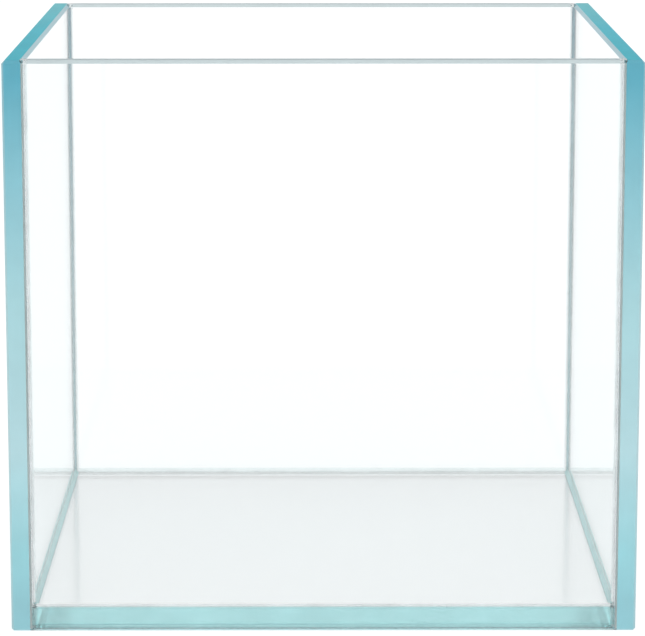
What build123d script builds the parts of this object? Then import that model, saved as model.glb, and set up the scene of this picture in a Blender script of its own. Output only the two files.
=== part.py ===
from build123d import *
import os

# Open-top, frameless glass aquarium tank. Millimetres.
# +Z is up, the front pane faces -Y, the width runs along X.
# The origin is the centre of the footprint, at the level the tank stands on.

# ---- driving dimensions ----
TANK_WIDTH = 300.0
TANK_DEPTH = 300.0
TANK_HEIGHT = 275.0
GLASS = 10.0          # thickness of every pane
ARRIS = 1.0           # 45 degree bevel ground on every glass edge but those of the rim
RIM_ARRIS = 1.5       # the wider bevel round the open top, where hands go in
BOND_GAP = 0.5        # silicone thickness between two panes
CORNER_BEAD = 1.2     # leg of the silicone bead up each inside corner
FLOOR_BEAD = 2.0      # leg of the bead along each wall's foot
BEAD_HOLLOW = 0.38    # depth of the tooled face: where its middle lies, as a share of the leg

# ---- worked out from them ----
INNER_WIDTH = TANK_WIDTH - 2 * GLASS       # between the two side panes
INNER_DEPTH = TANK_DEPTH - 2 * GLASS       # between the front and back panes
SEAM_TOP = TANK_HEIGHT - RIM_ARRIS         # silicone stops where the rim bevel starts
SIDES = {"left": -1, "right": 1}
ENDS = {"front": -1, "back": 1}


def pane(width, depth, height, top_bevel):
    """A glass plate standing on the XY plane, with every edge bevelled."""
    plate = Box(width, depth, height, align=(Align.CENTER, Align.CENTER, Align.MIN))
    lower_groups = plate.edges().group_by(Axis.Z)[:-1]
    plate = chamfer([edge for group in lower_groups for edge in group], ARRIS)
    top_face = plate.faces().sort_by(Axis.Z)[-1]
    return chamfer(top_face.edges(), top_bevel)


def side_pane(side):
    """Left or right pane: the full depth and height of the tank."""
    centre_x = side * (TANK_WIDTH - GLASS) / 2
    return Pos(centre_x, 0, 0) * pane(GLASS, TANK_DEPTH, TANK_HEIGHT, RIM_ARRIS)


def end_pane(end):
    """Front or back pane: it fits between the two side panes, with a bond gap at each."""
    centre_y = end * (TANK_DEPTH - GLASS) / 2
    return Pos(0, centre_y, 0) * pane(INNER_WIDTH - 2 * BOND_GAP, GLASS, TANK_HEIGHT, RIM_ARRIS)


def base_pane():
    """The floor: it lies inside the four walls, flush with their lower edges."""
    return pane(INNER_WIDTH - 2 * BOND_GAP, INNER_DEPTH - 2 * BOND_GAP, GLASS, ARRIS)


def corner_bond(side, end):
    """Silicone between a side pane and the edge of the front or back pane.

    It fills the gap and every bevel that opens on it, wiped flush with the outer faces and
    with the rim, as if the front or back pane ran on to the side pane.
    """
    widest = BOND_GAP + 2 * RIM_ARRIS
    centre_x = side * (INNER_WIDTH - BOND_GAP) / 2
    centre_y = end * (TANK_DEPTH - GLASS) / 2
    slot = Box(widest, GLASS, TANK_HEIGHT, align=(Align.CENTER, Align.CENTER, Align.MIN))
    wall = Pos(0, centre_y, 0) * pane(TANK_WIDTH, GLASS, TANK_HEIGHT, RIM_ARRIS)
    return (Pos(centre_x, centre_y, 0) * slot & wall) - end_pane(end) - side_pane(side)


def mitre_wedge(direction):
    """The quarter of the inside of the tank that lies against one wall, cut at its corners."""
    half_x = INNER_WIDTH / 2
    half_y = INNER_DEPTH / 2
    dx, dy = direction
    if dx:
        corners = [(0, 0), (dx * half_x, -half_y), (dx * half_x, half_y)]
    else:
        corners = [(0, 0), (-half_x, dy * half_y), (half_x, dy * half_y)]
    return extrude(make_face(Polyline(*corners, close=True)), amount=TANK_HEIGHT)


def base_bond(direction):
    """Silicone between one edge of the floor and the wall beside it."""
    height = GLASS - ARRIS
    block = Box(INNER_WIDTH, INNER_DEPTH, height, align=(Align.CENTER, Align.CENTER, Align.MIN))
    ring = Pos(0, 0, ARRIS) * block - base_pane()
    return ring & mitre_wedge(direction)


def bead_profile(leg):
    """Section of a tooled bead: its corner at the origin, its legs along +X and +Y."""
    middle = leg * BEAD_HOLLOW
    legs = Polyline((0, leg), (0, 0), (leg, 0))
    hollow = ThreePointArc((leg, 0), (middle, middle), (0, leg))
    return make_face(legs + hollow)


def corner_bead(side, end):
    """Bead up the inside corner of a side pane and the front or back pane."""
    foot = Plane(
        origin=(side * INNER_WIDTH / 2, end * INNER_DEPTH / 2, GLASS),
        x_dir=(-side, 0, 0),
        z_dir=(0, 0, side * end),
    )
    length = side * end * (SEAM_TOP - GLASS)
    return extrude(foot * bead_profile(CORNER_BEAD), amount=length)


def base_bead(direction, corner_beads):
    """Bead along the inside corner of the floor and one wall, ending at the upright beads."""
    dx, dy = direction
    distance = INNER_WIDTH / 2 if dx else INNER_DEPTH / 2
    length = INNER_DEPTH if dx else INNER_WIDTH
    section = Plane(
        origin=(dx * distance, dy * distance, GLASS),
        x_dir=(-dx, -dy, 0),
        z_dir=(-dy, dx, 0),
    )
    bead = extrude(section * bead_profile(FLOOR_BEAD), amount=length / 2, both=True)
    bead = bead & mitre_wedge(direction)
    for upright in corner_beads.values():
        bead = bead - upright
    return bead


WALLS = {
    "front": (0, -1),
    "back": (0, 1),
    "left": (-1, 0),
    "right": (1, 0),
}

nodes = {"base_pane": base_pane()}
for name, side in SIDES.items():
    nodes[f"{name}_pane"] = side_pane(side)
for name, end in ENDS.items():
    nodes[f"{name}_pane"] = end_pane(end)

corner_beads = {}
for end_name, end in ENDS.items():
    for side_name, side in SIDES.items():
        nodes[f"corner_bond_{end_name}_{side_name}"] = corner_bond(side, end)
        corner_beads[f"corner_bead_{end_name}_{side_name}"] = corner_bead(side, end)
nodes.update(corner_beads)

for name, direction in WALLS.items():
    nodes[f"base_bond_{name}"] = base_bond(direction)
    nodes[f"base_bead_{name}"] = base_bead(direction, corner_beads)

os.makedirs("parts", exist_ok=True)
for name, shape in nodes.items():
    export_step(shape, f"parts/{name}.step")
    print(f"{name}: {shape.volume:.1f} mm3")
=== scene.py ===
import math

import bmesh
import bpy
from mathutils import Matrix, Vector, noise


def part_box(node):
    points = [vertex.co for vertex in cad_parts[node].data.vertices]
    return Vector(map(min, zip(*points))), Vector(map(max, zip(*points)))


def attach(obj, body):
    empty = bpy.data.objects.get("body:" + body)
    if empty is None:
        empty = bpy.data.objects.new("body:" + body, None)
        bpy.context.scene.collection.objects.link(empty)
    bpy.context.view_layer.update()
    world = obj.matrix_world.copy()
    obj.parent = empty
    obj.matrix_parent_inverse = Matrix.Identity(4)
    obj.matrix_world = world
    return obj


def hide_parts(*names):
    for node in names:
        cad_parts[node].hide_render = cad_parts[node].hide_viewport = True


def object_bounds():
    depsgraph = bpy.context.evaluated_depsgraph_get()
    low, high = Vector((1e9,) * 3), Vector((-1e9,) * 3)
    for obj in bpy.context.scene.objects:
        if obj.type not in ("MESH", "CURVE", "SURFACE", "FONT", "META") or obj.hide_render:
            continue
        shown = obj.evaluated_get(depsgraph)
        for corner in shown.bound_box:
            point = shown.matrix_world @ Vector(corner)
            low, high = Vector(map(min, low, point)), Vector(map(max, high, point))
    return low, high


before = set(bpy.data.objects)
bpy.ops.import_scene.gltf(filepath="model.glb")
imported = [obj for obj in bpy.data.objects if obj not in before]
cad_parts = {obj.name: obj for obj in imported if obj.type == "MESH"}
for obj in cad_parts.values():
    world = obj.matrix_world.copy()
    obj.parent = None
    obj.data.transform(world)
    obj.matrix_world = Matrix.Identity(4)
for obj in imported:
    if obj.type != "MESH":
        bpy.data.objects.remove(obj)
cad_low, cad_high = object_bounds()

# Metres. The tank stands on z = 0, its front faces -Y, and x = 0 is its middle.

# ---- sizes, read from the CAD nodes ----

WIDTH = cad_high.x - cad_low.x
HEIGHT = cad_high.z - cad_low.z
FLOOR_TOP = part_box("base_pane")[1].z
GLASS = FLOOR_TOP - cad_low.z
INNER_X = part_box("right_pane")[0].x                 # inner face of a side pane
INNER_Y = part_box("back_pane")[0].y                  # inner face of the front and back panes
BOND_GAP = INNER_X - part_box("back_pane")[1].x
CORNER_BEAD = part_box("corner_bead_front_left")[1].x + INNER_X      # leg of an upright bead
FLOOR_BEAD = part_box("base_bead_left")[1].z - FLOOR_TOP             # leg of a bead on the floor
BEAD_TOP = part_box("corner_bead_front_left")[1].z
RIM_ARRIS = cad_high.z - BEAD_TOP                   # bevel round the open top
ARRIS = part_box("base_bond_left")[0].z - cad_low.z   # bevel of every other edge

SIDES = {"left": -1, "right": 1}
ENDS = {"front": -1, "back": 1}
WALLS = {"front": (0, -1), "back": (0, 1), "left": (-1, 0), "right": (1, 0)}


# ---- material graphs ----

NOISE_LOW = 0.3           # noise seldom goes past these two
NOISE_HIGH = 0.7


def colour(rgb):
    return (*rgb, 1)


def set_stops(points, stops):
    """Gives a colour ramp its stops, each a place from 0 to 1 and a colour."""
    while len(points) < len(stops):
        points.new(0.5)
    for point, (place, rgb) in zip(points, stops):
        point.position = place
        point.color = colour(rgb)


class Graph:
    """A material with one Principled shader, and short ways to add and link nodes."""

    def __init__(self, name):
        self.material = bpy.data.materials.new(name)
        self.material.use_nodes = True
        self.tree = self.material.node_tree
        self.shader = self.tree.nodes["Principled BSDF"]
        self.output = self.tree.nodes["Material Output"]

    def feed(self, socket, value):
        """Links value where it is a socket, and sets it where it is a number or colour."""
        if isinstance(value, bpy.types.NodeSocket):
            self.tree.links.new(value, socket)
        else:
            socket.default_value = value

    def node(self, kind, inputs=(), **settings):
        """A new node. inputs says what each of its sockets is fed."""
        node = self.tree.nodes.new(kind)
        for key, value in settings.items():
            setattr(node, key, value)
        for socket, value in dict(inputs).items():
            self.feed(node.inputs[socket], value)
        return node

    def math(self, operation, first, second=0.0):
        return self.node("ShaderNodeMath", {0: first, 1: second}, operation=operation).outputs[0]

    def both(self, first, second):
        """1 where both masks are 1."""
        return self.math("MULTIPLY", first, second)

    def opposite(self, mask):
        """1 where the mask is 0, and 0 where it is 1."""
        return self.math("SUBTRACT", 1.0, mask)

    def blend(self, share, first, second):
        """The number first where share is 0, second where it is 1. Equal numbers need no nodes."""
        if first == second:
            return first
        step = self.math("SUBTRACT", second, first)
        return self.math("ADD", self.math("MULTIPLY", share, step), first)

    def mix(self, share, first, second, blend_type="MIX"):
        """The colour first where share is 0, second where it is 1."""
        node = self.node("ShaderNodeMix", data_type="RGBA", blend_type=blend_type)
        factor = node.inputs[0]
        first_in, second_in = [socket for socket in node.inputs if socket.type == "RGBA"]
        self.feed(factor, share)
        self.feed(first_in, first)
        self.feed(second_in, second)
        return next(socket for socket in node.outputs if socket.type == "RGBA")

    def ramp(self, share, stops):
        """The colour that stops give at share."""
        node = self.node("ShaderNodeValToRGB", {0: share})
        set_stops(node.color_ramp.elements, stops)
        return node.outputs[0]

    def cloud(self, scale, detail, dark):
        """Grey patches, from dark to white, to multiply a colour by."""
        place = self.node("ShaderNodeTexCoord").outputs["Object"]
        patches = self.node("ShaderNodeTexNoise", {"Vector": place, "Scale": scale, "Detail": detail})
        return self.ramp(patches.outputs[0], ((NOISE_LOW, [dark] * 3), (NOISE_HIGH, [1.0] * 3)))

    def axes(self, vector):
        """The x, y and z of a vector, as three sockets."""
        return self.node("ShaderNodeSeparateXYZ", {0: vector}).outputs

    def absorb(self, rgb, density):
        """The colour that thickness gives: rgb and density per metre."""
        volume = self.node("ShaderNodeVolumeAbsorption", {"Color": colour(rgb), "Density": density})
        self.feed(self.output.inputs["Volume"], volume.outputs[0])


# ---- camera: nearly straight in front, a little above the rim ----

CAMERA_AZIMUTH = math.radians(-0.2)
CAMERA_ELEVATION = math.radians(10.75)
CAMERA_DISTANCE = 5.51 * WIDTH      # from the point it aims at
AIM_HEIGHT = 0.4155 * WIDTH
LENS = 177.4                        # mm
NEAREST = 0.01                      # the camera sees nothing nearer or further than these
FURTHEST = 100.0


def add_camera():
    data = bpy.data.cameras.new("camera")
    camera = bpy.data.objects.new("camera", data)
    bpy.context.collection.objects.link(camera)
    bpy.context.scene.camera = camera
    aim = Vector((0, 0, AIM_HEIGHT))
    away = Vector((
        math.sin(CAMERA_AZIMUTH) * math.cos(CAMERA_ELEVATION),
        -math.cos(CAMERA_AZIMUTH) * math.cos(CAMERA_ELEVATION),
        math.sin(CAMERA_ELEVATION),
    ))
    camera.location = aim + CAMERA_DISTANCE * away
    camera.rotation_mode = "QUATERNION"
    camera.rotation_quaternion = (-away).to_track_quat("-Z", "Y")
    data.lens = LENS
    data.clip_start = NEAREST
    data.clip_end = FURTHEST


# ---- studio: a white floor that glows like a light table, in a white surround ----

FLOOR_SIZE = 40.0
FLOOR_DROP = 0.0002       # below the glass, so the two planes do not fight
FLOOR_GLOW = 0.93
FLOOR_ALBEDO = 0.15
LIGHT_BOUNCES = 24        # a ray crosses many faces of glass before it leaves the tank
# The surround by height: white at the floor's far edge, dimmer just above it, white again.
SURROUND = (
    (0.0, (1.0, 1.0, 1.0)),
    (0.05, (0.93, 0.95, 0.96)),
    (0.6, (1.0, 1.0, 1.0)),
)


def add_floor():
    mesh = bpy.data.meshes.new("floor")
    half = FLOOR_SIZE / 2
    z = cad_low.z - FLOOR_DROP
    corners = [(-half, -half, z), (half, -half, z), (half, half, z), (-half, half, z)]
    mesh.from_pydata(corners, [], [(0, 1, 2, 3)])
    floor = bpy.data.objects.new("floor", mesh)
    bpy.context.collection.objects.link(floor)
    g = Graph("floor")
    g.feed(g.shader.inputs["Base Color"], colour([FLOOR_ALBEDO] * 3))
    g.feed(g.shader.inputs["Roughness"], 1.0)
    g.feed(g.shader.inputs["Specular IOR Level"], 0.0)
    g.feed(g.shader.inputs["Emission Color"], colour((1, 1, 1)))
    g.feed(g.shader.inputs["Emission Strength"], FLOOR_GLOW)
    mesh.materials.append(g.material)


def add_surround():
    world = bpy.data.worlds.new("studio")
    world.use_nodes = True
    nodes = world.node_tree.nodes
    links = world.node_tree.links
    coords = nodes.new("ShaderNodeTexCoord")
    split = nodes.new("ShaderNodeSeparateXYZ")
    ramp = nodes.new("ShaderNodeValToRGB")
    links.new(coords.outputs["Generated"], split.inputs[0])
    links.new(split.outputs["Z"], ramp.inputs[0])
    links.new(ramp.outputs[0], nodes["Background"].inputs["Color"])
    set_stops(ramp.color_ramp.elements, SURROUND)
    bpy.context.scene.world = world


def set_light_paths():
    scene = bpy.context.scene
    scene.view_settings.view_transform = "Standard"
    scene.cycles.max_bounces = LIGHT_BOUNCES
    scene.cycles.transmission_bounces = LIGHT_BOUNCES
    scene.cycles.transparent_max_bounces = LIGHT_BOUNCES
    scene.cycles.glossy_bounces = LIGHT_BOUNCES


# ---- glass: polished clear faces, satin ground edges with painted light and shade, aqua where it is deep ----

GLASS_IOR = 1.52
FLAT = 0.9                # a normal this far along an axis belongs to a face square to it
STEEP = 0.5               # and one this far to that face or to a bevel beside it

# Colour and density of thick glass, in the walls and in the floor.
WALL_BODY = ((0.24, 0.66, 0.73), 4.0)
BASE_BODY = ((0.20, 0.96, 0.98), 3.0)

BASE_HAZE = 0.1           # roughness of the floor's faces: it mirrors the walls only dimly
BASE_FACE = (0.98, 0.955, 0.955)
BASE_EDGE = (0.97, 0.99, 0.99)
BASE_EDGE_ROUGHNESS = 0.1

# Front and back edges of a side pane, by height as a share of the tank's: the glass's own aqua,
# with painted shade in its ramp, deepest at the rim, palest a third of the way up.
SIDE_EDGE_AQUA_AND_SHADE = (
    (0.04, (0.37, 0.74, 0.82)),
    (0.14, (0.42, 0.85, 0.92)),
    (0.32, (0.60, 0.88, 0.93)),
    (0.58, (0.51, 0.84, 0.89)),
    (0.83, (0.27, 0.65, 0.76)),
    (0.97, (0.12, 0.51, 0.65)),
)
# Top edge of a side pane, from front to back: the glass's own aqua, darkened by painted shade, most at
# the front.
SIDE_TOP_AQUA_AND_SHADE = (
    (0.0, (0.02, 0.48, 0.60)),
    (0.5, (0.05, 0.52, 0.64)),
    (1.0, (0.17, 0.61, 0.67)),
)
SIDE_EDGE_ROUGHNESS = 0.3
SIDE_TOP_ROUGHNESS = 0.8
SIDE_CLARITY = 0.3

# Top edge of the front and back panes: the ground rim's grey, darkened by painted shade.
END_TOP_GREY_AND_SHADE = (0.40, 0.51, 0.54)
END_ROUGHNESS = 0.4
END_CLARITY = 0.5

# Painted shade: the darker grey line that a bevel shows.
ARRIS_SHADE = (0.57, 0.66, 0.675)
SIDE_ARRIS_SHARE = 0.4    # how much of an arris's painted shade shows over the edge's colour
END_ARRIS_SHARE = 0.75
BONDED_PAINTED_LIGHT = (0.85, 1.0, 1.0)      # painted light: a pale paint on a bevel that silicone wets


class GlassGraph(Graph):
    """Masks for the faces, edges and bevels of a pane. An arris is a bevel beside a face."""

    def __init__(self, name, thickness_axis):
        super().__init__(name)
        self.place = self.axes(self.node("ShaderNodeTexCoord").outputs["Object"])
        normal = self.axes(self.node("ShaderNodeNewGeometry").outputs["True Normal"])
        facing = [self.math("ABSOLUTE", part) for part in normal]
        across = self.math("MAXIMUM", facing[0], facing[1])
        steepest = self.math("MAXIMUM", across, facing[2])
        self.facing = facing
        self.edge = self.math("LESS_THAN", facing[thickness_axis], FLAT)
        beside_face = self.math("GREATER_THAN", facing[thickness_axis], STEEP)
        self.arris = self.both(self.math("LESS_THAN", steepest, FLAT), beside_face)
        middle = cad_high[thickness_axis] - GLASS / 2
        self.outer = self.math("GREATER_THAN", self.math("ABSOLUTE", self.place[thickness_axis]), middle)
        self.level = self.math("GREATER_THAN", facing[2], FLAT)
        self.upright = self.math("LESS_THAN", facing[2], STEEP)
        self.height = self.math("DIVIDE", self.place[2], HEIGHT)
        self.depth = self.math("ADD", self.math("DIVIDE", self.place[1], WIDTH), 0.5)

    def finish(self, edge, tint, roughness, clarity, face=(1, 1, 1), haze=0.0, body=WALL_BODY):
        """Clear glass where edge is 0. Where it is 1, tint, roughness and clarity take over."""
        patches = self.cloud(scale=60.0, detail=3.0, dark=0.93)
        grain = self.cloud(scale=900.0, detail=2.0, dark=0.96)
        tint = self.mix(1.0, tint, patches, "MULTIPLY")
        self.feed(self.shader.inputs["Base Color"], self.mix(edge, colour(face), tint))
        self.feed(self.shader.inputs["Roughness"], self.blend(edge, haze, self.both(roughness, grain)))
        self.feed(self.shader.inputs["Transmission Weight"], self.blend(edge, 1.0, clarity))
        self.feed(self.shader.inputs["IOR"], GLASS_IOR)
        self.absorb(*body)
        return self.material


def side_glass():
    """Side panes: ground edges, with painted shade in their colour. A bevel wetted by silicone gets a
    pale painted light, and is clear at its corners.
    """
    g = GlassGraph("clear_glass_side", thickness_axis=0)
    beside_end = g.math("GREATER_THAN", g.math("ABSOLUTE", g.place[1]), INNER_Y)
    bonded = g.both(g.both(g.arris, g.opposite(g.outer)), beside_end)
    bonded_upright = g.both(bonded, g.upright)
    bonded_corner = g.both(bonded, g.opposite(g.upright))
    tint = g.mix(g.level, g.ramp(g.height, SIDE_EDGE_AQUA_AND_SHADE), g.ramp(g.depth, SIDE_TOP_AQUA_AND_SHADE))
    tint = g.mix(g.both(g.arris, SIDE_ARRIS_SHARE), tint, colour(ARRIS_SHADE))
    tint = g.mix(bonded_upright, tint, colour(BONDED_PAINTED_LIGHT))
    roughness = g.blend(g.level, SIDE_EDGE_ROUGHNESS, SIDE_TOP_ROUGHNESS)
    clarity = g.blend(bonded_upright, SIDE_CLARITY, 0.0)
    ground = g.both(g.edge, g.opposite(bonded_corner))
    return g.finish(ground, tint, roughness, clarity)


def end_glass():
    """Front and back panes: only the rim shows as ground, its grey and its bevels darkened by painted
    shade, and the rest of the edge is clear.
    """
    g = GlassGraph("clear_glass_end", thickness_axis=1)
    upper = g.math("GREATER_THAN", g.height, 0.5)
    bonded = g.math("GREATER_THAN", g.facing[0], STEEP)
    rim = g.both(g.both(g.edge, g.opposite(bonded)), upper)
    tint = g.mix(g.both(g.arris, END_ARRIS_SHARE), colour(END_TOP_GREY_AND_SHADE), colour(ARRIS_SHADE))
    return g.finish(rim, tint, END_ROUGHNESS, END_CLARITY)


def base_glass():
    """The floor pane: bonded all round, so its edges are wetted and clear."""
    g = GlassGraph("clear_glass_base", thickness_axis=2)
    return g.finish(
        g.edge,
        colour(BASE_EDGE),
        BASE_EDGE_ROUGHNESS,
        clarity=1.0,
        face=BASE_FACE,
        haze=BASE_HAZE,
        body=BASE_BODY,
    )


# ---- silicone: clear in the bonds, hazy or milky in the beads that show, with painted light in those beads ----

SILICONE_IOR = 1.50       # near enough that of glass for a bonded face to vanish
SILICONE_ROUGHNESS = 0.08
CLEAR_BODY = ((0.3, 0.6, 0.65), 4.0)
CLOUDED_BODY = ((0.34, 0.62, 0.67), 8.0)


def silicone_material(name, foot, rim, body):
    """foot and rim each give a tint and a clarity, for the bottom and top of the tank."""
    g = Graph(name)
    place = g.axes(g.node("ShaderNodeTexCoord").outputs["Object"])
    height = g.math("DIVIDE", place[2], HEIGHT)
    foot_tint, foot_clarity = foot
    rim_tint, rim_clarity = rim
    tint = g.mix(height, colour(foot_tint), colour(rim_tint))
    tint = g.mix(1.0, tint, g.cloud(scale=90.0, detail=4.0, dark=0.92), "MULTIPLY")
    g.feed(g.shader.inputs["Base Color"], tint)
    g.feed(g.shader.inputs["Roughness"], SILICONE_ROUGHNESS)
    g.feed(g.shader.inputs["Transmission Weight"], g.blend(height, foot_clarity, rim_clarity))
    g.feed(g.shader.inputs["IOR"], SILICONE_IOR)
    g.absorb(*body)
    return g.material


def clear_silicone():
    """Of the bonds and of the beads at the front."""
    return silicone_material(
        "clear_silicone",
        foot=((1, 1, 1), 1.0),
        rim=((0.99, 1, 1), 1.0),
        body=CLEAR_BODY,
    )


def hazy_silicone_with_painted_light():
    """Of the beads along the back pane: haze with painted light, a pale diffuse share that lightens the
    seam at the foot, greyer towards the rim.
    """
    return silicone_material(
        "hazy_silicone_with_painted_light",
        foot=((0.95, 1, 1), 0.97),
        rim=((0.78, 0.86, 0.90), 0.75),
        body=CLOUDED_BODY,
    )


def milky_silicone_with_painted_light():
    """Of the beads at the left and right of the floor: milky, and painted pale aqua, painted light that
    lightens them.
    """
    return silicone_material(
        "milky_silicone_with_painted_light",
        foot=((0.60, 1, 1), 0.10),
        rim=((0.60, 1, 1), 0.10),
        body=CLOUDED_BODY,
    )


# ---- silicone seams: each is a section swept along its joint ----
#
# A section is a ring of (u, v) points. u runs from the wall into the tank or the gap, and v
# from the inside corner: inwards along the other leg of a bead, outwards along a bond.

OVERLAP = 0.00003         # into the glass, so the two meet with no air between them
BEAD_HOLLOW = 0.38        # where the middle of the tooled face lies, as a share of the leg
LEG_STEPS = 8             # points along a leg of a bead
RING_STEP = 0.005         # between two sections along a bead
RIPPLE = 0.03             # how much a bead swells and shrinks along its length
RIPPLE_SCALE = 25         # swells per metre
SEED_STEP = 0.37          # sets the ripples of two beads apart
NUDGE = 0.0001            # keeps points apart that would otherwise lie on each other
SHARP = math.radians(25)  # a fold this strong stays an edge


def hollow(leg, u):
    """Height of the tooled face of a bead at a distance u from its wall."""
    middle = BEAD_HOLLOW * leg
    centre = (leg ** 2 - 2 * middle ** 2) / (2 * leg - 4 * middle)
    radius_squared = 2 * (centre - middle) ** 2
    return centre - math.sqrt(radius_squared - (u - centre) ** 2)


def bead_section(leg):
    """Two legs against the glass and a hollow face between them."""
    steps = [leg * i / LEG_STEPS for i in range(LEG_STEPS + 1)]
    lower = [(-OVERLAP, -OVERLAP)] + [(u, -OVERLAP) for u in steps[1:]]
    face = [(u, hollow(leg, u)) for u in reversed(steps[1:-1])]
    return lower + face + [(-OVERLAP, leg)]


def corner_bond_section(cut=0.0):
    """A bond that flares into the upright bevels at its two ends.

    Within the bevel of a rim or a foot, cut is how far that bevel has taken the panes back:
    the bond is wider by it on each side, and shallower by it at each end.
    """
    near = -OVERLAP - cut
    far = BOND_GAP + OVERLAP + cut
    inner = OVERLAP - cut
    outer = cut - GLASS
    mouth = 0.0 if cut else ARRIS
    flare = NUDGE if cut else ARRIS
    return [
        (near, inner),
        (near, outer + flare),
        (near - mouth, outer),
        (far + mouth, outer),
        (far, outer + flare),
        (far, -cut - flare),
        (far + mouth + OVERLAP, inner),
    ]


def floor_bond_section(widening=0.0):
    """A bond beside the floor, flared into its top bevel, and into its corner bevel by widening."""
    far = BOND_GAP + OVERLAP
    return [
        (-OVERLAP, OVERLAP),
        (-OVERLAP, ARRIS - GLASS),
        (far + widening, ARRIS - GLASS),
        (far + widening, -ARRIS),
        (far + ARRIS + OVERLAP, OVERLAP),
    ]


def swell(section, node, along):
    """The section, larger or smaller by a slow ripple that differs from piece to piece."""
    seed = SEED_STEP * sum(ord(letter) for letter in node)
    scale = 1 + RIPPLE * noise.noise(Vector((seed, along * RIPPLE_SCALE, 0)))
    return [(u * scale, v * scale) for u, v in section]


def add_seam(node, rings, material):
    """A closed mesh through rings of points, standing for a CAD node."""
    mesh = bmesh.new()
    rings = [[mesh.verts.new(point) for point in ring] for ring in rings]
    for ring, following in zip(rings, rings[1:]):
        for i in range(len(ring)):
            j = i - 1
            mesh.faces.new((ring[j], ring[i], following[i], following[j]))
    caps = [mesh.faces.new(rings[0]), mesh.faces.new(rings[-1])]
    bmesh.ops.triangulate(mesh, faces=caps)
    bmesh.ops.recalc_face_normals(mesh, faces=mesh.faces)
    data = bpy.data.meshes.new("silicone_" + node)
    mesh.to_mesh(data)
    mesh.free()
    data.shade_smooth()
    data.set_sharp_from_angle(angle=SHARP)
    data.materials.append(material)
    piece = bpy.data.objects.new("silicone_" + node, data)
    bpy.context.collection.objects.link(piece)
    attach(piece, "root")
    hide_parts(node)


def steps_between(low, high):
    """Evenly spaced values from low to high, at most RING_STEP apart."""
    count = math.ceil((high - low) / RING_STEP)
    return [low + (high - low) * i / count for i in range(count + 1)]


def add_corner_seams(end_name, side_name, bond_material, bead_material):
    """Bond and bead up one corner of the tank."""
    end = ENDS[end_name]
    side = SIDES[side_name]
    corner = f"{end_name}_{side_name}"

    def ring(section, z):
        return [(side * (INNER_X - u), end * (INNER_Y - v), z) for u, v in section]

    shaft = corner_bond_section()
    rings = [
        ring(corner_bond_section(cut=ARRIS), cad_low.z),
        ring(shaft, cad_low.z + ARRIS),
        ring(shaft, BEAD_TOP),
        ring(corner_bond_section(cut=RIM_ARRIS), cad_high.z),
    ]
    add_seam("corner_bond_" + corner, rings, bond_material)

    node = "corner_bead_" + corner
    levels = steps_between(FLOOR_TOP - OVERLAP, BEAD_TOP)
    bead = bead_section(CORNER_BEAD)
    add_seam(node, [ring(swell(bead, node, z), z) for z in levels], bead_material)


def add_floor_seams(wall_name, bond_material, bead_material):
    """Bond and bead along one wall. Each is mitred, and the bead ends at the upright beads."""
    dx, dy = WALLS[wall_name]
    wall = INNER_X if dx else INNER_Y
    half = INNER_Y if dx else INNER_X

    def ring(section, share, shortfall):
        """The section at a share, -1 to 1, of the way to a corner that it ends shortfall(u) before."""
        points = []
        for u, v in section:
            along = share * (half - shortfall(u) + OVERLAP)
            across = wall - u
            points.append((dx * across + abs(dy) * along, dy * across + abs(dx) * along, FLOOR_TOP + v))
        return points

    def mitre(u):
        return max(u, 0.0)

    def before_corner_bevel(u):
        return BOND_GAP + ARRIS + NUDGE

    def beside_upright_bead(u):
        return max(u, hollow(CORNER_BEAD, min(u, CORNER_BEAD)))

    end = floor_bond_section(widening=ARRIS / 2)
    middle = floor_bond_section()
    rings = [
        ring(end, -1, mitre),
        ring(middle, -1, before_corner_bevel),
        ring(middle, 1, before_corner_bevel),
        ring(end, 1, mitre),
    ]
    add_seam("base_bond_" + wall_name, rings, bond_material)

    node = "base_bead_" + wall_name
    rings = []
    for along in steps_between(-half, half):
        section = swell(bead_section(FLOOR_BEAD), node, along)
        rings.append(ring(section, along / half, beside_upright_bead))
    add_seam(node, rings, bead_material)


# ---- put together ----

def assign(name, material):
    """Gives a CAD node its material."""
    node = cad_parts[name]
    node.data.materials.clear()
    node.data.materials.append(material)


add_camera()
add_floor()
add_surround()
set_light_paths()

side_pane_glass = side_glass()
for name in SIDES:
    assign(name + "_pane", side_pane_glass)
end_pane_glass = end_glass()
for name in ENDS:
    assign(name + "_pane", end_pane_glass)
assign("base_pane", base_glass())

clear = clear_silicone()
# hazy and milky carry painted light that lightens their beads.
hazy = hazy_silicone_with_painted_light()
milky = milky_silicone_with_painted_light()
for side_name in SIDES:
    add_corner_seams("front", side_name, clear, clear)
    add_corner_seams("back", side_name, clear, hazy)
    add_floor_seams(side_name, clear, milky)
add_floor_seams("front", clear, clear)
add_floor_seams("back", clear, hazy)
